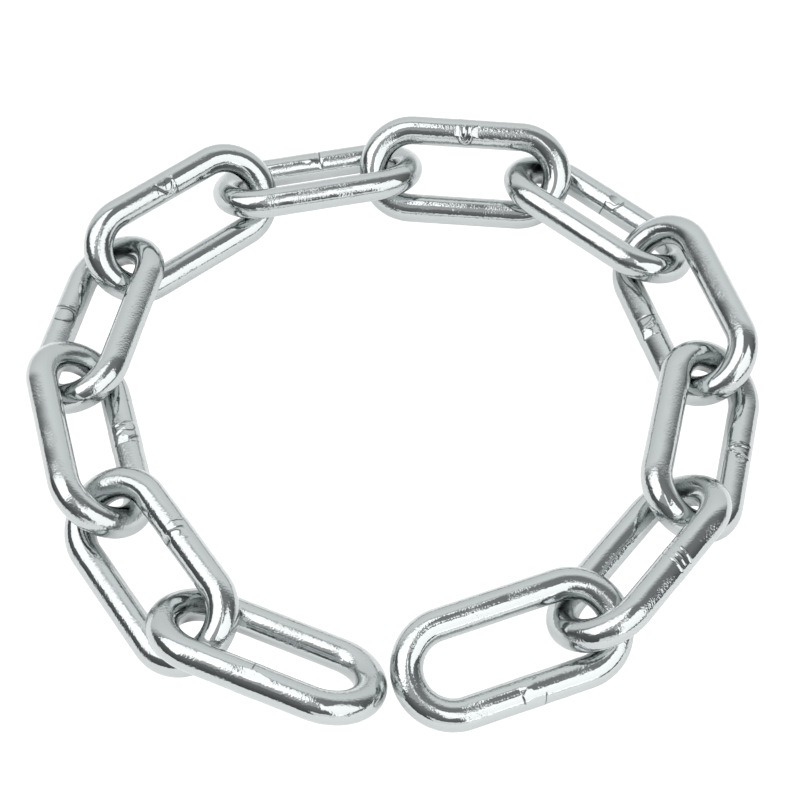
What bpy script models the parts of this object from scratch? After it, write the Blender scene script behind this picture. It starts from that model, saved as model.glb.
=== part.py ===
"""A length of polished steel chain lying in an open ring: welded oval links, one solid each.

Every link is one bar of round wire bent into an oval, with the weld at the middle of one leg.
The links lean over to alternate sides, each with its lower leg along the floor. The first link
is at the front left end. The others follow it clockwise round the ring, each bow seated in the
bow before it with a small gap. Neighbours swing about an upright axis beside their bows, and so
the ring opens along the floor.
"""
import math
from collections import namedtuple

import bpy
from mathutils import Matrix, Vector

# The link, in metres
WIRE_R = 0.0040        # half the wire's thickness
BOW_R = 0.0108         # centreline radius of both bows
LEG = 0.0298           # straight length of each leg
GAP = 0.0003           # clearance between neighbouring links
HINGE_IN = 0.0070      # how far the axis of a swing lies from the bows, towards the ring's inside

# The weld: a short band that stands a little proud of the wire, halfway along one leg
WELD_LONG = 0.0036
WELD_PROUD = 0.0002
WELD_RAMP = 0.0005

# How finely the wire is cut into flats
SIDES = 16
BOW_STEPS = 12

# How each link lies, in degrees. heading: which way it points, from +X towards +Y. lean: how
# far the leg on its left is raised from flat (below 0 the right leg is the raised one). tilt:
# how far its forward end is raised. pull: how far the line along which the next link is drawn
# tight turns from midway between the two headings. weld: the leg that carries the weld, "up"
# for the raised one and "low" for the one on the floor.
Link = namedtuple("Link", "name heading lean tilt pull weld")
LINKS = [
    Link("link_01", 158, 30, 3, -1, "up"),
    Link("link_02", 125, -28, 1, 0, "up"),
    Link("link_03", 106, 38, 1, 5, "low"),
    Link("link_04", 78, -24, -1, -2, "low"),
    Link("link_05", 39, 40, 0, 1, "up"),
    Link("link_06", 11, -26, 1, -4, "low"),
    Link("link_07", -5, 39, 0, 1, "up"),
    Link("link_08", -41, -25, -1, -5, "low"),
    Link("link_09", -73, 38, 0, 0, "low"),
    Link("link_10", -104, -29, 1, -2, "low"),
    Link("link_11", -129, 38, 0, 2, "up"),
    Link("link_12", -161, -19, -3, 0, "low"),
]
MIDDLE = 5             # the link that the ring is laid out from, both ways
BOW_SAMPLES = 40       # points along a bow when its distance to the next is measured
HALVINGS = 22          # steps of the search for the tight place


def clear_scene():
    for item in list(bpy.data.objects):
        bpy.data.objects.remove(item, do_unlink=True)


def outline():
    """Centreline of one link as (along, across, radius), starting at the weld and going round.

    The weld is on the leg where across is positive.
    """
    band = WELD_LONG / 2
    points = [
        (-band - WELD_RAMP, BOW_R, WIRE_R),
        (-band, BOW_R, WIRE_R + WELD_PROUD),
        (band, BOW_R, WIRE_R + WELD_PROUD),
        (band + WELD_RAMP, BOW_R, WIRE_R),
    ]
    for end in (1, -1):
        for k in range(BOW_STEPS + 1):
            turn = math.pi * k / BOW_STEPS
            points.append((end * (LEG / 2 + BOW_R * math.sin(turn)), end * BOW_R * math.cos(turn), WIRE_R))
    return points


def outward(a, b):
    """Direction in the link's plane, square to the wire, that points away from the link's eye."""
    if abs(a) <= LEG / 2:
        return Vector((0.0, math.copysign(1.0, b), 0.0))
    return Vector((a - math.copysign(LEG / 2, a), b, 0.0)).normalized()


def link_mesh(link):
    """Vertices and faces of one link about its own centre, along X and with its left leg at +Y."""
    raised = 1 if link.lean > 0 else -1
    side = raised if link.weld == "up" else -raised
    # a corner of the wire's section points straight down on the lower leg
    first = math.radians(abs(link.lean) - 90)
    rows = outline()
    verts, faces = [], []
    for a, b, radius in rows:
        out = outward(a, b)
        for k in range(SIDES):
            turn = first + 2 * math.pi * k / SIDES
            x, y = Vector((a, b, 0.0)).xy + out.xy * radius * math.cos(turn)
            verts.append(Vector((x, side * y, radius * math.sin(turn))))
    for r in range(len(rows)):
        s = (r + 1) % len(rows)
        for k in range(SIDES):
            m = (k + 1) % SIDES
            quad = (r * SIDES + k, r * SIDES + m, s * SIDES + m, s * SIDES + k)
            faces.append(quad if side > 0 else quad[::-1])
    return verts, faces


def at_rest(link):
    """How a link lies with its lowest point on the floor and its centre over x = y = 0."""
    turn = (Matrix.Rotation(math.radians(link.heading), 4, "Z")
            @ Matrix.Rotation(math.radians(-link.tilt), 4, "Y")
            @ Matrix.Rotation(math.radians(link.lean), 4, "X"))
    lowest = min((turn @ v).z for v in link_mesh(link)[0])
    return Matrix.Translation((0.0, 0.0, -lowest)) @ turn


def bow(pose, end):
    """Points along the centreline of a placed link's bow: the forward one at 1, the rear one at -1."""
    turns = [math.pi * k / BOW_SAMPLES for k in range(BOW_SAMPLES + 1)]
    return [pose @ Vector((end * (LEG / 2 + BOW_R * math.sin(t)), BOW_R * math.cos(t), 0.0)) for t in turns]


def nearest(one, other):
    """Smallest distance from a row of points to the line through another row."""
    best = math.inf
    for a, b in zip(other, other[1:]):
        run = b - a
        for p in one:
            t = min(1.0, max(0.0, (p - a).dot(run) / run.length_squared))
            best = min(best, (a + run * t - p).length)
    return best


def level(degrees):
    return Vector((math.cos(math.radians(degrees)), math.sin(math.radians(degrees)), 0.0))


def seat(i, j, placed, loose):
    """Plan shift that draws link j's bow tight into link i's, and the foot of their swing's axis."""
    way = 1 if j > i else -1
    first, second = LINKS[min(i, j)], LINKS[max(i, j)]
    pull = level((first.heading + second.heading) / 2 + first.pull)
    held = bow(placed, way)
    free = bow(loose, -way)
    bow_centre = placed.translation * Vector((1, 1, 0)) + level(LINKS[i].heading) * (way * LEG / 2)
    reach = level(LINKS[j].heading) * (way * LEG / 2)
    near, far = 0.5 * BOW_R, 2.0 * BOW_R
    for _ in range(HALVINGS):
        draw = (near + far) / 2
        shift = bow_centre + pull * (way * draw) + reach
        if nearest(held, [p + shift for p in free]) > 2 * WIRE_R + GAP:
            near = draw
        else:
            far = draw
    inward = Vector((pull.y, -pull.x, 0.0))
    hinge = bow_centre + pull * (way * near / 2) + inward * HINGE_IN
    return bow_centre + pull * (way * near) + reach, hinge


def lay_out():
    """Place of every link, worked out both ways from the middle one, and of each swing's axis."""
    poses = [at_rest(link) for link in LINKS]
    hinges = {}
    for i, j in ([(k, k + 1) for k in range(MIDDLE, len(LINKS) - 1)]
                 + [(k, k - 1) for k in range(MIDDLE, 0, -1)]):
        shift, hinges[i, j] = seat(i, j, poses[i], poses[j])
        poses[j] = Matrix.Translation(shift) @ poses[j]
    return poses, hinges


def steel(name):
    mat = bpy.data.materials.new(name)
    mat.use_nodes = True
    shader = mat.node_tree.nodes["Principled BSDF"]
    shader.inputs["Base Color"].default_value = (0.62, 0.63, 0.63, 1.0)
    shader.inputs["Metallic"].default_value = 1.0
    shader.inputs["Roughness"].default_value = 0.12
    return mat


def add_link(link, pose):
    verts, faces = link_mesh(link)
    mesh = bpy.data.meshes.new(link.name)
    mesh.from_pydata(verts, [], faces)
    mesh.shade_smooth()
    mesh.materials.append(steel(link.name + "_steel"))
    item = bpy.data.objects.new(link.name, mesh)
    item.matrix_world = pose
    bpy.context.scene.collection.objects.link(item)
    return item


def attach(item, holder):
    """Make item follow holder, and leave it where it is."""
    item.parent = holder
    item.matrix_parent_inverse = holder.matrix_world.inverted()


def build():
    clear_scene()
    poses, hinges = lay_out()
    spread = [pose @ v for link, pose in zip(LINKS, poses) for v in link_mesh(link)[0]]
    middle = Vector([(min(p[i] for p in spread) + max(p[i] for p in spread)) / 2 for i in (0, 1)] + [0.0])
    links = [add_link(link, Matrix.Translation(-middle) @ pose) for link, pose in zip(LINKS, poses)]
    bpy.context.view_layer.update()
    for (i, j), hinge in hinges.items():
        axis = bpy.data.objects.new(f"swing_{i + 1:02d}_{j + 1:02d}", None)
        axis.matrix_world = Matrix.Translation(hinge - middle)
        bpy.context.scene.collection.objects.link(axis)
        bpy.context.view_layer.update()
        attach(axis, links[i])
        attach(links[j], axis)


build()
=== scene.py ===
"""Looks of a length of bright polished steel link chain that lies in an open ring.

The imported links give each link's place. A finer link stands for each of them, with the weld's
band, grooves and flecks in its mesh. The floor is plain white, and the light is a soft studio.
"""

import math

import bmesh
import bpy
import numpy as np
from mathutils import Matrix, Vector, noise


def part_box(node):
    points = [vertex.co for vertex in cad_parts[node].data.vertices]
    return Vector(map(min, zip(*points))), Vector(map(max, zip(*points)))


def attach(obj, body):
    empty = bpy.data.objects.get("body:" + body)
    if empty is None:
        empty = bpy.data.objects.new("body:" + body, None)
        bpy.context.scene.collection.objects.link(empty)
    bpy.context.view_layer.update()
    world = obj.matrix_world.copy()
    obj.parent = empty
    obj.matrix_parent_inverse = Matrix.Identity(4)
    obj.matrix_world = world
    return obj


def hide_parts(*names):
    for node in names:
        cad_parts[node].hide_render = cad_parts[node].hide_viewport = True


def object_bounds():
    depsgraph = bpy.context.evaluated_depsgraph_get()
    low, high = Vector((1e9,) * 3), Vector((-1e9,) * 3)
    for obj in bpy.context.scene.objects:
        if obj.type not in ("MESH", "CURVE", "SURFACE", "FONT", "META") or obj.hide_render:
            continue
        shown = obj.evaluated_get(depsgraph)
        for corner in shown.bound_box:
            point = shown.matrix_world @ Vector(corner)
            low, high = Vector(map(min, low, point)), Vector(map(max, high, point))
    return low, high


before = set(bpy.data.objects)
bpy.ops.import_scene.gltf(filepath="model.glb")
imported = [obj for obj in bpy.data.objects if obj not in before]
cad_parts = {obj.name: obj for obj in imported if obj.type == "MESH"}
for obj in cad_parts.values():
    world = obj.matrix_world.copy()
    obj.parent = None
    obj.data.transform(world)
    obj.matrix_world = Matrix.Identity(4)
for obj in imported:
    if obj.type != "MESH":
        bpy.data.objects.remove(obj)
cad_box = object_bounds()

# The link, in metres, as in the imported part
WIRE_R = 0.0040
WIRE_MM = WIRE_R * 1000
BOW_R = 0.0108
LEG = 0.0298

# How finely the wire is cut, with shorter steps from WELD_FROM to WELD_TO along the welded leg
AROUND = 120
BOW_STEPS = 84
LEG_STEP = 0.0004
WELD_STEP = 0.00012
WELD_FROM, WELD_TO = -0.0054, 0.0060
MERGE = WELD_STEP / 4   # points closer than this become one

# How the polished surface departs from a true round, in metres
TRIM = 0.00006          # taken off all over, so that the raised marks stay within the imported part
WAVES = ((0.0030, 0.000020), (0.0008, 0.000003))   # size of a wave, and its height
NEXT_WAVES = 9.7        # step through the waves from one link to the next, so that no two are alike

# How the flats of the welds are ground
CUT_WALL = 1.2          # slope of the ends of a flat
CUT_SOFT = 0.03         # rounding of a flat's edge, in millimetres
CUT_REACH = 1.2         # how far round the wire a flat is worked out, in radians each way
FAR_MM = 10.0           # farther than any mark reaches, in millimetres

# The polish. Sizes are in metres, and an edge is the two values of the patches' noise between which the
# surface changes.
STEEL_TONE = "#C3C7C7"
# tone of the painted shade along the weld crevices and inside the bows where the links meet
PAINTED_SHADE_TONE = "#3C4041"
GRAIN = 0.0005          # size of the grains, which are as coarse as they need to be to show
GRAIN_HEIGHT = 0.00006
PATCH = 0.006           # size of the patches where the grain is stronger and the polish duller
GRAIN_EDGE = (0.4, 0.62)
GRAIN_BETWEEN = 0.25    # share of the grain that is left between the patches
DULL_EDGE = (0.4, 0.7)
POLISH = (0.06, 0.14)   # roughness between the patches, and in them
PAINTED_SHADE_ROUGH = 0.3       # what full painted shade adds to the roughness

# Painted shade inside the bows, under and beside the place where the neighbour bears: a darker tone, with a
# duller polish, that stands for the shade where the links meet. The most that it covers, how far it lies from
# the tip of the bow and spreads along it, and how far round the wire and spreads there. All are in degrees,
# and round the wire 180 faces the eye and 270 is the underside.
SEAT_SHADE = 0.88
SEAT_TURN, SEAT_REACH = 24, 20
SEAT_BELOW, SEAT_SPREAD = 212, 28

# name: heading, lean and tilt in degrees, and the leg that has the weld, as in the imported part
LINKS = {
    "link_01": (158, 30, 3, "up"),
    "link_02": (125, -28, 1, "up"),
    "link_03": (106, 38, 1, "low"),
    "link_04": (78, -24, -1, "low"),
    "link_05": (39, 40, 0, "up"),
    "link_06": (11, -26, 1, "low"),
    "link_07": (-5, 39, 0, "up"),
    "link_08": (-41, -25, -1, "low"),
    "link_09": (-73, 38, 0, "low"),
    "link_10": (-104, -29, 1, "low"),
    "link_11": (-129, 38, 0, "up"),
    "link_12": (-161, -19, -3, "low"),
}

# The marks that the welding and trimming left, in millimetres along the leg from its middle, forward
# above 0, and in degrees round the wire: 0 faces away from the link's eye, 90 is the link's upper side,
# and 180 faces the eye.
#   band: start, end, rise, ramp                 a stretch that stands proud
#   ridge: points (place, angle), height         a raised line, or a groove below 0
#   cut: angle, depth, start, end, slope, wall   a flat ground across the wire
#   scoop: angle, depth, start, end              a shallow flat that runs out at both ends
#   disc: place, angle, length, spread, height, ramp   a flat-topped round lump
#   fleck: place, angle, height, length, spread  a small lump, or a hollow below 0
#   seam: points (place, angle), width, share    a line of painted shade darkening a crevice
WELDS = {
    "link_01": (
        ("band", -3.4, 2.2, 0.04, 1.4),
        ("scoop", 54, 0.12, -5.4, 4.2),
        ("ridge", [(-0.5, 74), (-0.45, 130)], -0.09, 0.2),
        ("fleck", -1.2, 74, 0.05, 0.7, 5),
        ("seam", [(-0.5, 76), (-0.45, 128)], 0.14),
    ),
    "link_02": (
        ("band", -2.2, 3.7, 0.05, 0.5),
        ("scoop", 128, 0.24, -0.6, 2.4),
        ("ridge", [(2.1, 106), (1.8, 88), (1.35, 66), (1.0, 44)], -0.14, 0.26),
        ("ridge", [(-1.2, 68), (0.2, 64), (1.0, 74), (1.35, 92)], 0.1, 0.22),
        ("ridge", [(3.6, 28), (3.6, 66)], 0.06, 0.16),
        ("ridge", [(-2.1, 75), (-2.1, 118)], 0.03, 0.14),
        ("seam", [(-0.9, 72), (-0.3, 66), (0.3, 62), (1.0, 72), (1.5, 90), (1.9, 104)], 0.16),
        ("seam", [(1.9, 98), (1.3, 52), (0.7, 44)], 0.14, 0.8),
        ("seam", [(3.6, 66), (3.3, 50), (2.8, 30)], 0.12),
    ),
    "link_03": (
        ("band", -1.9, 4.2, 0.08, 0.4),
        ("cut", 134, 0.2, -1.85, 0.15, 0.13),
        ("ridge", [(0.3, 60), (-0.2, 92), (-0.9, 112)], -0.14, 0.35),
        ("ridge", [(1.0, 152), (1.5, 136), (1.8, 128)], -0.14, 0.38),
        ("disc", 2.7, 100, 1.3, 28, 0.08, 0.35),
        ("ridge", [(3.4, 150), (3.0, 138)], -0.12, 0.3),
        ("ridge", [(3.7, 140), (4.2, 110), (4.7, 75), (5.0, 50)], -0.08, 0.25),
        ("fleck", 3.4, 121, -0.1, 0.3, 6),
        ("seam", [(-1.1, 110), (-0.6, 95), (0.0, 74)], 0.3),
        ("seam", [(2.0, 128), (1.4, 112), (1.6, 92), (2.6, 80)], 0.12),
        ("seam", [(3.0, 150), (3.4, 128), (3.1, 119)], 0.14),
        ("seam", [(3.7, 140), (4.4, 110)], 0.12),
    ),
    "link_04": (
        ("disc", 1.0, 113, 1.9, 42, 0.08, 0.4),
        ("ridge", [(3.9, 140), (4.0, 100), (4.6, 60)], -0.08, 0.25),
        ("seam", [(-1.0, 128), (-0.8, 143), (-0.2, 152), (1.0, 157),
                  (2.2, 152), (2.8, 140), (3.0, 120), (2.9, 96)], 0.2),
        ("seam", [(-1.0, 126), (-0.9, 100), (-0.4, 84)], 0.15),
        ("seam", [(3.3, 152), (3.6, 126), (3.8, 100), (4.2, 75), (4.6, 55)], 0.24),
    ),
    "link_05": (
        ("disc", -0.2, 95, 2.9, 50, 0.1, 0.7),
        ("ridge", [(-2.8, 74), (-1.7, 98), (-0.6, 118), (0.5, 122), (1.3, 108), (2.2, 86)], -0.18, 0.45),
        ("ridge", [(1.5, 114), (2.3, 88), (2.9, 56)], 0.1, 0.2),
        ("ridge", [(2.6, 145), (2.6, 104)], -0.09, 0.2),
        ("fleck", -2.2, 72, 0.06, 0.3, 7),
        ("fleck", -0.3, 68, 0.06, 0.3, 7),
        ("seam", [(-2.9, 66), (-2.2, 84), (-1.3, 104), (-0.5, 116)], 0.28),
        ("seam", [(-0.6, 100), (0.1, 70)], 0.14),
        ("seam", [(2.6, 105), (2.6, 139)], 0.14),
        ("seam", [(-3.2, 102), (-2.9, 84)], 0.12),
    ),
    "link_06": (
        ("fleck", -0.6, 133, 0.22, 1.1, 15),
        ("ridge", [(1.9, 165), (1.95, 135), (1.9, 60)], -0.17, 0.45),
        ("ridge", [(0.6, 122), (1.0, 70)], 0.05, 0.15),
        ("seam", [(-0.8, 128), (0.2, 132), (1.0, 136)], 0.22),
        ("seam", [(1.9, 150), (2.0, 120), (2.2, 80)], 0.14),
        ("seam", [(-1.2, 150), (-0.3, 140)], 0.12),
    ),
    "link_07": (
        ("band", -2.9, 1.8, 0.05, 0.5),
        ("ridge", [(-2.6, 98), (-2.1, 122), (-0.7, 140), (0.5, 132), (1.0, 112), (1.2, 92)], 0.18, 0.32),
        ("ridge", [(-1.7, 80), (-1.4, 104), (-0.7, 116), (0.0, 106), (0.2, 76)], -0.12, 0.3),
        ("cut", 88, 0.12, -3.3, -2.3, 0.3),
        ("cut", 84, 0.15, 0.7, 2.9, -0.27),
        ("ridge", [(-0.8, 66), (-0.7, 98)], 0.12, 0.22),
        ("seam", [(-2.8, 110), (-2.0, 135), (-0.7, 148), (0.8, 140), (1.4, 120), (1.5, 104)], 0.16),
        ("seam", [(-1.9, 108), (-1.3, 122), (-0.6, 126), (0.0, 116), (0.5, 95)], 0.14),
        ("seam", [(-1.6, 70), (-1.5, 100), (-0.9, 114), (-0.3, 108), (0.0, 88), (-0.2, 64)], 0.2),
    ),
    "link_08": (
        ("scoop", 120, 0.22, -2.6, 2.0),
        ("ridge", [(-3.3, 234), (-2.55, 201), (-2.3, 176), (-2.3, 150)], -0.1, 0.2),
        ("ridge", [(-2.1, 168), (-1.0, 173), (0.6, 170)], -0.1, 0.18),
        ("ridge", [(0.7, 168), (1.5, 145), (2.0, 115)], -0.12, 0.25),
        ("ridge", [(1.3, 160), (2.0, 138)], 0.08, 0.2),
        ("seam", [(-2.5, 150), (-2.2, 172), (-1.6, 180)], 0.14),
        ("seam", [(-2.0, 164), (-1.0, 170), (0.5, 168), (0.9, 160)], 0.14),
        ("seam", [(-1.9, 150), (-1.0, 146), (0.2, 148), (0.8, 140), (1.0, 128)], 0.12),
        ("seam", [(1.4, 150), (2.0, 132), (2.2, 118)], 0.14),
        ("seam", [(-2.3, 172), (-2.7, 200), (-3.2, 231)], 0.16),
    ),
    "link_09": (
        ("band", -2.5, 3.8, 0.06, 0.5),
        ("cut", 94, 0.2, 1.7, 3.8, -0.12),
        ("cut", 114, 0.24, -2.1, 1.2, 0.02, 0.4),
        ("ridge", [(-0.4, 138), (0.4, 108), (1.4, 84)], 0.12, 0.22),
        ("fleck", 0.2, 142, 0.12, 0.4, 7),
        ("ridge", [(0.8, 135), (1.6, 115)], -0.1, 0.2),
        ("seam", [(1.4, 104), (2.2, 116), (3.2, 114), (3.9, 108)], 0.14),
        ("seam", [(1.6, 80), (2.6, 76), (3.7, 68)], 0.1),
        ("seam", [(-0.6, 138), (0.2, 132), (1.0, 136)], 0.14),
        ("seam", [(-2.4, 150), (-2.3, 120), (-2.2, 84)], 0.22),
        ("seam", [(-1.9, 140), (-1.0, 128), (-0.2, 108), (0.2, 84)], 0.16, 0.7),
    ),
    "link_10": (
        ("ridge", [(-1.8, 66), (-1.6, 98), (-1.2, 130), (-0.3, 150),
                  (0.5, 136), (1.1, 108), (1.6, 66)], 0.17, 0.3),
        ("ridge", [(-2.3, 112), (-2.2, 66)], -0.12, 0.26),
        ("fleck", -0.1, 86, 0.08, 0.3, 6),
        ("cut", 106, 0.22, 1.9, 2.7, 0.0, 0.5),
        ("ridge", [(-2.7, 140), (-1.7, 155), (-0.9, 140)], 0.08, 0.2),
        ("seam", [(-2.3, 68), (-2.1, 106)], 0.32),
        ("seam", [(-2.0, 108), (-1.5, 134)], 0.13),
        ("seam", [(0.9, 132), (1.5, 106), (1.8, 78)], 0.13),
        ("seam", [(-2.2, 130), (-1.6, 155)], 0.12),
        ("seam", [(-0.9, 78), (0.7, 80)], 0.7, 0.8),
    ),
    "link_11": (
        ("ridge", [(-4.2, 112), (-3.5, 75), (-3.35, 58), (-3.2, 38),
                   (-2.8, 12), (-2.3, -10), (-2.1, -40)], 0.12, 0.24),
        ("ridge", [(-2.1, 112), (-1.5, 85), (-1.2, 58), (-1.1, 35), (-0.8, 10)], 0.09, 0.22),
        ("ridge", [(0.0, 110), (0.4, 85), (0.45, 46), (0.75, 20), (1.0, -8), (1.2, -40)], 0.11, 0.22),
        ("band", -3.2, 1.0, 0.03, 0.4),
        ("seam", [(-3.7, 60), (-3.4, 30)], 0.16),
        ("seam", [(-1.9, 58), (-1.6, 15)], 0.16),
        ("seam", [(-0.2, 52), (0.1, 5)], 0.16),
    ),
    "link_12": (
        ("band", -3.2, 2.2, 0.04, 0.5),
        ("scoop", 46, 0.1, -3.4, 0.9),
        ("fleck", 0.4, 101, 0.18, 1.1, 11),
        ("fleck", 1.75, 88, -0.1, 0.35, 5),
        ("ridge", [(2.25, 80), (2.0, 50)], -0.1, 0.18),
        ("ridge", [(-3.5, 66), (-3.2, 50), (-2.7, 20), (-2.5, -10)], 0.08, 0.18),
        ("seam", [(2.2, 77), (2.0, 50)], 0.16),
        ("seam", [(1.0, 94), (1.6, 88), (2.2, 96)], 0.14),
        ("seam", [(-3.5, 66), (-3.2, 50), (-2.7, 20)], 0.1),
        ("seam", [(-2.4, 128), (-1.4, 124)], 0.1),
    ),
}

# The camera, as the photograph was taken, in metres and pixels
CAMERA_UP = math.radians(54.8)
CAMERA_FAR = 0.4736
CAMERA_TARGET = Vector((0.0020, 0.0066, 0.0))
FOCAL_PX = 1804         # focal length in a picture that is FRAME_PX wide
FRAME_PX = 800
SENSOR_MM = 36.0

# The floor and the lights, in metres and degrees. An azimuth of 0 is away from the camera, and 90 is to
# its right.
TABLE_MIDDLE = (0.0, -0.10, 0.0)
TABLE_SIZE = (0.74, 0.50)
FLOOR_TONE = "#E8E8E8"
FLOOR_ROUGH = 0.7
FLOOR_GLOW = 0.42       # the light from below that the acrylic lets through
WHITE = "#FFFFFF"
PLAIN_WHITE = 1.2       # brightness of the floor and the backdrop to the camera
LIGHT_FAR = 1.6         # how far the lights stand from the chain
# The room's tones low on the left, low on the right and overhead, and where a direction's x and z begin
# and end the change from one to the other
ROOM_LEFT = "#595B5C"
ROOM_RIGHT = "#66696A"
ROOM_HIGH = "#929495"
ROOM_ACROSS = (-0.7, 0.7)
ROOM_RISE = (0.023, 1.06)
# The bright back wall, which begins and is full where the cosine of the angle from its middle is this
BACK_WALL = "#E4E6E6"
BACK_AZIMUTH = -1.7
BACK_EDGE = (0.269, 0.613)
# name, azimuth and elevation of its middle, azimuth and elevation that it shines from, roll, width and
# height for each metre of distance, brightness
SOFT_LIGHTS = (
    ("left_softbox", -101.4, 67.9, -70.5, 30.1, 26.5, 0.835, 1.168, 1.5),
    ("right_softbox", 131.1, 38.5, 134.3, 18.4, -1.0, 0.979, 1.070, 1.45),
    ("front_softbox", 166.1, 59.8, 194.8, 45.0, 4.0, 0.120, 0.704, 1.25),
    ("ceiling_panel", -132.0, 69.0, -148.2, 31.0, 30.6, 1.150, 0.834, 0.27),
    ("low_reflector", 179.3, 1.5, 138.0, 28.5, -15.3, 1.091, 0.500, 0.98),
)


def turned(heading, lean, tilt):
    """Rotation of a link as it lies."""
    return (Matrix.Rotation(math.radians(heading), 4, "Z")
            @ Matrix.Rotation(math.radians(-tilt), 4, "Y")
            @ Matrix.Rotation(math.radians(lean), 4, "X"))


def centre_of(node, turn):
    """Centre of a packed link: the middle of the box round its two ends, which leave the weld out."""
    low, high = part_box(node)
    middle = (low + high) / 2
    along = turn.col[0].xyz
    ends = [v.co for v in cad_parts[node].data.vertices if abs((v.co - middle).dot(along)) > LEG / 3]
    return Vector([(min(p[i] for p in ends) + max(p[i] for p in ends)) / 2 for i in range(3)])


def leg_rows(welded):
    """Steps along a leg of LEG, which are finer where the weld is."""
    stops = [-LEG / 2, WELD_FROM, WELD_TO, LEG / 2] if welded else [-LEG / 2, LEG / 2]
    steps = []
    for k, (start, stop) in enumerate(zip(stops, stops[1:])):
        count = math.ceil((stop - start) / (WELD_STEP if k == 1 else LEG_STEP))
        steps += [(stop - start) / count] * count
    return steps


def wire_oval():
    """A closed oval of round wire about the origin, along X, as a bmesh. The weld's leg is at +Y."""
    bm = bmesh.new()
    start = Matrix.Translation((LEG / 2, BOW_R, 0.0)) @ Matrix.Rotation(math.pi / 2, 4, "Y")
    bmesh.ops.create_circle(bm, segments=AROUND, radius=WIRE_R, matrix=start)
    edge = bm.edges[:]
    for end, welded in ((1, False), (-1, True)):
        bow = bmesh.ops.spin(bm, geom=edge, cent=(end * LEG / 2, 0.0, 0.0), axis=(0.0, 0.0, 1.0),
                             angle=-math.pi, steps=BOW_STEPS, use_duplicate=False)
        edge = [e for e in bow["geom_last"] if isinstance(e, bmesh.types.BMEdge)]
        for step in leg_rows(welded):
            leg = bmesh.ops.extrude_edge_only(bm, edges=edge)
            bmesh.ops.translate(bm, vec=(-end * step, 0.0, 0.0),
                                verts=[v for v in leg["geom"] if isinstance(v, bmesh.types.BMVert)])
            edge = [e for e in leg["geom"] if isinstance(e, bmesh.types.BMEdge)]
    bmesh.ops.remove_doubles(bm, verts=bm.verts, dist=MERGE)
    bmesh.ops.recalc_face_normals(bm, faces=bm.faces)
    return bm


def soft_step(x):
    """0 up to 0, 1 from 1 on, and a smooth rise between them."""
    x = np.clip(x, 0.0, 1.0)
    return x * x * (3.0 - 2.0 * x)


def ridge(place, around, points, height, width):
    """Height of a raised line through the points. around and width are lengths on the wire."""
    best = np.full(place.shape, FAR_MM)
    for (a, b), (c, d) in zip(points, points[1:]):
        start = np.array((a, math.radians(b) * WIRE_MM))
        run = np.array((c, math.radians(d) * WIRE_MM)) - start
        near = np.clip(((place - start[0]) * run[0] + (around - start[1]) * run[1]) / (run @ run), 0.0, 1.0)
        best = np.minimum(best, np.hypot(place - start[0] - near * run[0], around - start[1] - near * run[1]))
    return height * np.exp(-(best / width) ** 2)


def seam(place, around, points, width, share=1.0):
    """How much painted shade a line through the points gives, from 0 to 1: the shade in a crevice, painted as
    a darker tone.
    """
    return ridge(place, around, points, share, width)


def lower_of(rise, flat):
    """The lower of two surfaces, with the edge where they meet a little rounded."""
    share = np.clip(0.5 + (flat - rise) / (2 * CUT_SOFT), 0.0, 1.0)
    return flat * (1.0 - share) + rise * share - CUT_SOFT * share * (1.0 - share)


def flat_turn(angle, middle):
    """Cosine of the angle round the wire from the middle of a flat."""
    return np.cos(np.radians(angle - middle).clip(-CUT_REACH, CUT_REACH))


def cut(rise, place, angle, middle, depth, start, end, slope, wall=CUT_WALL):
    """The surface where a flat is ground across the wire, square to the angle at its middle."""
    reach = WIRE_MM - depth + slope * (place - (start + end) / 2)
    flat = reach / flat_turn(angle, middle) - WIRE_MM
    return lower_of(rise, flat + wall * np.maximum(0.0, np.maximum(start - place, place - end)))


def scoop(rise, place, angle, middle, depth, start, end):
    """The surface with a flat that is deepest halfway and runs out at both ends."""
    part = (2 * place - start - end) / (end - start)
    reach = WIRE_MM - depth * (1.0 - part ** 2)
    return lower_of(rise, reach / flat_turn(angle, middle) - WIRE_MM)


def weld_rise(place, angle, marks):
    """How far a weld stands above the round wire, in millimetres."""
    around = np.radians(angle) * WIRE_MM
    rise = np.zeros(place.shape)
    for kind, *values in marks:
        if kind == "band":
            start, end, height, ramp = values
            rise += height * soft_step((place - start) / ramp + 0.5) * soft_step((end - place) / ramp + 0.5)
        elif kind == "ridge":
            rise += ridge(place, around, *values)
        elif kind == "fleck":
            middle, turn, height, length, spread = values
            rise += height * np.exp(-((place - middle) / length) ** 2 - ((angle - turn) / spread) ** 2)
        elif kind == "disc":
            middle, turn, length, spread, height, ramp = values
            inside = 1.0 - np.hypot((place - middle) / length, (angle - turn) / spread)
            rise += height * soft_step(inside * length / ramp + 0.5)
        elif kind == "cut":
            rise = cut(rise, place, angle, *values)
        elif kind == "scoop":
            rise = scoop(rise, place, angle, *values)
    return rise


def weld_crevice_shade(place, angle, marks):
    """How much of the surface the painted crevice shade covers, from 0 to 1."""
    around = np.radians(angle) * WIRE_MM
    dark = np.zeros(place.shape)
    for kind, *values in marks:
        if kind == "seam":
            dark = np.maximum(dark, seam(place, around, *values))
    return dark


def painted_seat_shade(x, y, angle, number):
    """How much painted shade lies on the bows beside their seats, where the neighbour shades them. The
    chain's two end bows have none.
    """
    turn = np.degrees(np.arctan2(y, np.abs(x) - LEG / 2))
    shade_share = np.exp(-((np.abs(turn) - SEAT_TURN) / SEAT_REACH) ** 2
                  - ((np.mod(angle, 360.0) - SEAT_BELOW) / SEAT_SPREAD) ** 2)
    held = ((x > 0.0) & (number < len(LINKS))) | ((x < 0.0) & (number > 1))
    return np.where(held & (np.abs(x) > LEG / 2), SEAT_SHADE * shade_share, 0.0)


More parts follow.
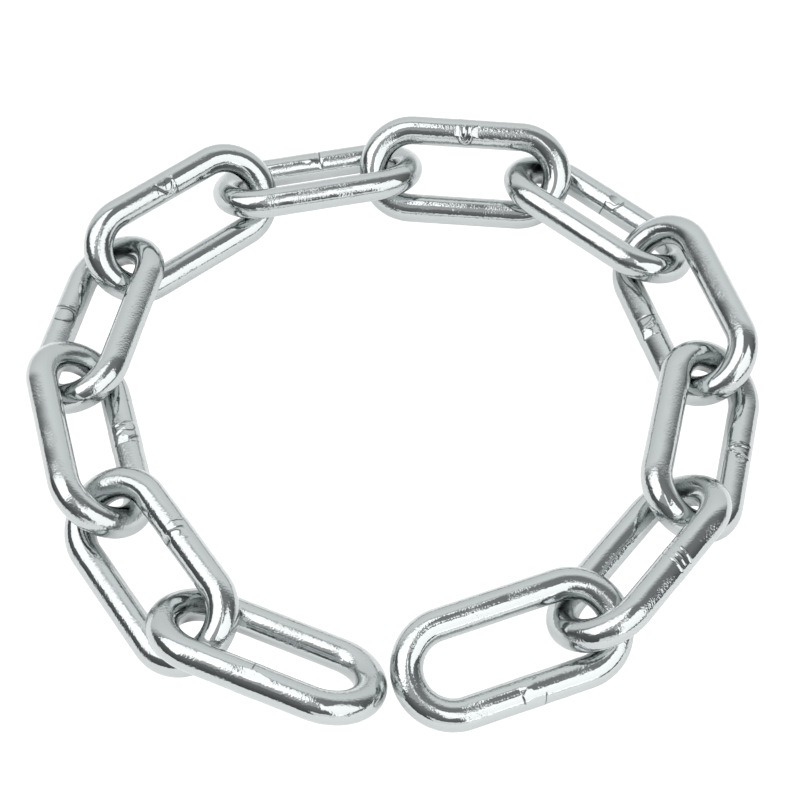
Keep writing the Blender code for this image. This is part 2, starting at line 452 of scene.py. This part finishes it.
def worn_and_shaded(points, side, number):
    """The points of a true round oval moved to the real surface, and the share of painted shade on each."""
    x, y, z = points.T
    past = x - np.clip(x, -LEG / 2, LEG / 2)
    out = np.stack([past, y]) / np.hypot(past, y)
    across = np.hypot(past, y) - BOW_R
    angle = np.degrees(np.arctan2(side * z, across))
    rise = np.full(len(points), -TRIM)
    apart = Vector((0.0, 0.0, NEXT_WAVES * number))
    for size, height in WAVES:
        rise += height * np.array([noise.noise(Vector(p) / size + apart) for p in points])
    # painted shade inside the bows, where the neighbour bears
    dark = painted_seat_shade(x, y, angle, number)
    at_weld = (y > 0.0) & (x > WELD_FROM) & (x < WELD_TO)
    marks = WELDS[f"link_{number:02d}"]
    place = x[at_weld] * 1000
    # counted on past 180, so that no mark is split on the side that faces the eye
    turn = np.where(angle[at_weld] < -90.0, angle[at_weld] + 360.0, angle[at_weld])
    rise[at_weld] += weld_rise(place, turn, marks) / 1000
    # painted shade along the weld's crevices
    dark[at_weld] = weld_crevice_shade(place, turn, marks)
    radial = np.stack([out[0] * across, out[1] * across, z], axis=1) / WIRE_R
    return points + radial * rise[:, None], dark


def nudge(mesh):
    """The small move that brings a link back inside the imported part's box."""
    points = np.empty(3 * len(mesh.vertices))
    mesh.vertices.foreach_get("co", points)
    points = points.reshape(-1, 3)
    low, high = np.array(cad_box)
    return Vector(np.maximum(0.0, low - points.min(axis=0)) - np.maximum(0.0, points.max(axis=0) - high))


def dress(node, heading, lean, tilt, weld, oval, steel):
    """Puts a finer link, a worn copy of the oval with its painted shade, in a packed link's place."""
    number = int(node[-2:])
    raised = 1 if lean > 0 else -1
    side = raised if weld == "up" else -raised
    mesh = oval.copy()
    mesh.name = node.replace("link", "polished_link")
    points = np.empty(3 * len(mesh.vertices))
    mesh.vertices.foreach_get("co", points)
    points, dark = worn_and_shaded(points.reshape(-1, 3), side, number)
    mesh.vertices.foreach_set("co", points.ravel())
    # the share of painted shade on each point, which darkens the steel's tone in the material
    mesh.attributes.new("painted_shade", "FLOAT", "POINT").data.foreach_set("value", dark)
    turn = turned(heading, lean, tilt)
    flip = Matrix.Rotation(0.0 if side > 0 else math.pi, 4, "X")
    mesh.transform(Matrix.Translation(centre_of(node, turn)) @ turn @ flip)
    mesh.transform(Matrix.Translation(nudge(mesh)))
    mesh.shade_smooth()
    mesh.materials.append(steel)
    piece = bpy.data.objects.new(mesh.name, mesh)
    bpy.context.scene.collection.objects.link(piece)
    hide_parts(node)
    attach(piece, node)


def set_camera():
    """The camera of the photograph."""
    data = bpy.data.cameras.new("camera")
    data.sensor_width = SENSOR_MM
    data.lens = SENSOR_MM * FOCAL_PX / FRAME_PX
    camera = bpy.data.objects.new("camera", data)
    back = Vector((0.0, -math.cos(CAMERA_UP), math.sin(CAMERA_UP)))
    camera.location = CAMERA_TARGET + back * CAMERA_FAR
    camera.rotation_mode = "QUATERNION"
    camera.rotation_quaternion = (-back).to_track_quat("-Z", "Y")
    bpy.context.scene.collection.objects.link(camera)
    bpy.context.scene.camera = camera


def linear(hex_code):
    """An sRGB hex colour as linear red, green, blue and alpha."""
    parts = [int(hex_code[i:i + 2], 16) / 255 for i in (1, 3, 5)]
    return tuple(c / 12.92 if c <= 0.04045 else ((c + 0.055) / 1.055) ** 2.4 for c in parts) + (1.0,)


def add(tree, kind, settings=None, links=None):
    """Adds a node. settings are its own values or its sockets', by name, and links feed its sockets."""
    node = tree.nodes.new(kind)
    for key, value in (settings or {}).items():
        if isinstance(key, str) and hasattr(node, key):
            setattr(node, key, value)
        else:
            node.inputs[key].default_value = value
    for key, source in (links or {}).items():
        tree.links.new(source, node.inputs[key])
    return node


def white_floor():
    """Opal acrylic: the chain mirrors it with its soft shadows, and the eye sees it as plain white."""
    mat = bpy.data.materials.new("opal_acrylic")
    mat.use_nodes = True
    tree = mat.node_tree
    shader = tree.nodes["Principled BSDF"]
    shader.inputs["Base Color"].default_value = linear(FLOOR_TONE)
    shader.inputs["Roughness"].default_value = FLOOR_ROUGH
    shader.inputs["Emission Color"].default_value = linear(WHITE)
    shader.inputs["Emission Strength"].default_value = FLOOR_GLOW
    white = add(tree, "ShaderNodeEmission", {"Strength": PLAIN_WHITE})
    path = add(tree, "ShaderNodeLightPath")
    both = add(tree, "ShaderNodeMixShader",
               links={0: path.outputs["Is Camera Ray"], 1: shader.outputs[0], 2: white.outputs[0]})
    tree.links.new(both.outputs[0], tree.nodes["Material Output"].inputs["Surface"])
    return mat


def floor():
    """The table top that the chain lies on."""
    bm = bmesh.new()
    place = Matrix.Translation(TABLE_MIDDLE) @ Matrix.Diagonal((*TABLE_SIZE, 1.0, 1.0))
    bmesh.ops.create_grid(bm, x_segments=1, y_segments=1, size=0.5, matrix=place)
    mesh = bpy.data.meshes.new("table_top")
    bm.to_mesh(mesh)
    bm.free()
    mesh.materials.append(white_floor())
    item = bpy.data.objects.new("table_top", mesh)
    bpy.context.scene.collection.objects.link(item)


def toward(azimuth, elevation):
    """Direction from the chain. Azimuth 0 is away from the camera, and 90 is to its right."""
    a, e = math.radians(azimuth), math.radians(elevation)
    return Vector((math.sin(a) * math.cos(e), math.cos(a) * math.cos(e), math.sin(e)))


def soft_light(name, azimuth, elevation, from_azimuth, from_elevation, roll, width, height, brightness):
    """A rectangular light at LIGHT_FAR from the chain."""
    data = bpy.data.lights.new(name, "AREA")
    data.shape = "RECTANGLE"
    data.size, data.size_y = width * LIGHT_FAR, height * LIGHT_FAR
    data.energy = brightness * math.pi * data.size * data.size_y
    lamp = bpy.data.objects.new(name, data)
    facing = toward(from_azimuth, from_elevation).to_track_quat("Z", "Y").to_matrix().to_4x4()
    roll = Matrix.Rotation(math.radians(roll), 4, "Z")
    lamp.matrix_world = Matrix.Translation(toward(azimuth, elevation) * LIGHT_FAR) @ facing @ roll
    bpy.context.scene.collection.objects.link(lamp)


def studio():
    """A dim room with soft lights, and a plain pale backdrop where the camera sees past the floor."""
    world = bpy.data.worlds.new("studio")
    world.use_nodes = True
    tree = world.node_tree
    tree.nodes.clear()
    place = add(tree, "ShaderNodeTexCoord")
    way = add(tree, "ShaderNodeSeparateXYZ", links={0: place.outputs["Generated"]})
    across = add(tree, "ShaderNodeMapRange",
                 {"From Min": ROOM_ACROSS[0], "From Max": ROOM_ACROSS[1], "interpolation_type": "SMOOTHSTEP"},
                 {"Value": way.outputs["X"]})
    low = add(tree, "ShaderNodeMix", {"data_type": "RGBA", 6: linear(ROOM_LEFT), 7: linear(ROOM_RIGHT)},
              {0: across.outputs[0]})
    rise = add(tree, "ShaderNodeMapRange",
               {"From Min": ROOM_RISE[0], "From Max": ROOM_RISE[1], "interpolation_type": "SMOOTHSTEP"},
               {"Value": way.outputs["Z"]})
    room = add(tree, "ShaderNodeMix", {"data_type": "RGBA", 7: linear(ROOM_HIGH)},
               {0: rise.outputs[0], 6: low.outputs[2]})
    facing = add(tree, "ShaderNodeVectorMath", {"operation": "DOT_PRODUCT", 1: toward(BACK_AZIMUTH, 0)},
                 {0: place.outputs["Generated"]})
    share = add(tree, "ShaderNodeMapRange",
                {"From Min": BACK_EDGE[0], "From Max": BACK_EDGE[1], "interpolation_type": "SMOOTHSTEP"},
                {"Value": facing.outputs["Value"]})
    lit = add(tree, "ShaderNodeMix", {"data_type": "RGBA", "blend_type": "ADD", 7: linear(BACK_WALL)},
              {0: share.outputs[0], 6: room.outputs[2]})
    dim = add(tree, "ShaderNodeBackground", links={"Color": lit.outputs[2]})
    pale = add(tree, "ShaderNodeBackground", {"Color": linear(WHITE), "Strength": PLAIN_WHITE})
    path = add(tree, "ShaderNodeLightPath")
    both = add(tree, "ShaderNodeMixShader",
               links={0: path.outputs["Is Camera Ray"], 1: dim.outputs[0], 2: pale.outputs[0]})
    add(tree, "ShaderNodeOutputWorld", links={"Surface": both.outputs[0]})
    bpy.context.scene.world = world
    for lamp in SOFT_LIGHTS:
        soft_light(*lamp)
    bpy.context.scene.view_settings.view_transform = "Standard"


def polished_steel():
    """Tumble-polished stainless steel: near mirror-bright, with a fine grain that comes and goes in
    patches. Painted shade darkens its tone along crevices at the welds and on the inside of the bows
    beside their seats, where the links shade each other, and the polish is duller there.
    """
    mat = bpy.data.materials.new("polished_stainless_steel")
    mat.use_nodes = True
    tree = mat.node_tree
    shader = tree.nodes["Principled BSDF"]
    shader.inputs["Metallic"].default_value = 1.0
    place = add(tree, "ShaderNodeTexCoord")
    painted_shade = add(tree, "ShaderNodeAttribute", {"attribute_name": "painted_shade"})
    # painted shade: the steel's tone darkens toward the dark tone where the crevices and the bows' seats are
    # shaded
    tone = add(tree, "ShaderNodeMix", {"data_type": "RGBA", 6: linear(STEEL_TONE), 7: linear(PAINTED_SHADE_TONE)},
               {0: painted_shade.outputs["Fac"]})
    grain = add(tree, "ShaderNodeTexNoise", {"Scale": 1 / GRAIN, "Detail": 1.0},
                {"Vector": place.outputs["Object"]})
    patch = add(tree, "ShaderNodeTexNoise", {"Scale": 1 / PATCH, "Detail": 0.0},
                {"Vector": place.outputs["Object"]})
    strong = add(tree, "ShaderNodeMapRange",
                 {"From Min": GRAIN_EDGE[0], "From Max": GRAIN_EDGE[1], "To Min": GRAIN_BETWEEN},
                 {"Value": patch.outputs[0]})
    dull = add(tree, "ShaderNodeMapRange",
               {"From Min": DULL_EDGE[0], "From Max": DULL_EDGE[1], "To Min": POLISH[0], "To Max": POLISH[1]},
               {"Value": patch.outputs[0]})
    duller = add(tree, "ShaderNodeMath", {"operation": "MULTIPLY_ADD", 1: PAINTED_SHADE_ROUGH},
                 {0: painted_shade.outputs["Fac"], 2: dull.outputs[0]})
    bump = add(tree, "ShaderNodeBump", {"Distance": GRAIN_HEIGHT},
               {"Height": grain.outputs[0], "Strength": strong.outputs[0]})
    tree.links.new(tone.outputs[2], shader.inputs["Base Color"])
    tree.links.new(duller.outputs[0], shader.inputs["Roughness"])
    tree.links.new(bump.outputs[0], shader.inputs["Normal"])
    return mat


studio()
set_camera()
floor()
steel = polished_steel()
oval = bpy.data.meshes.new("oval")
round_wire = wire_oval()
round_wire.to_mesh(oval)
round_wire.free()
for node, lie in LINKS.items():
    dress(node, *lie, oval, steel)
bpy.data.meshes.remove(oval)
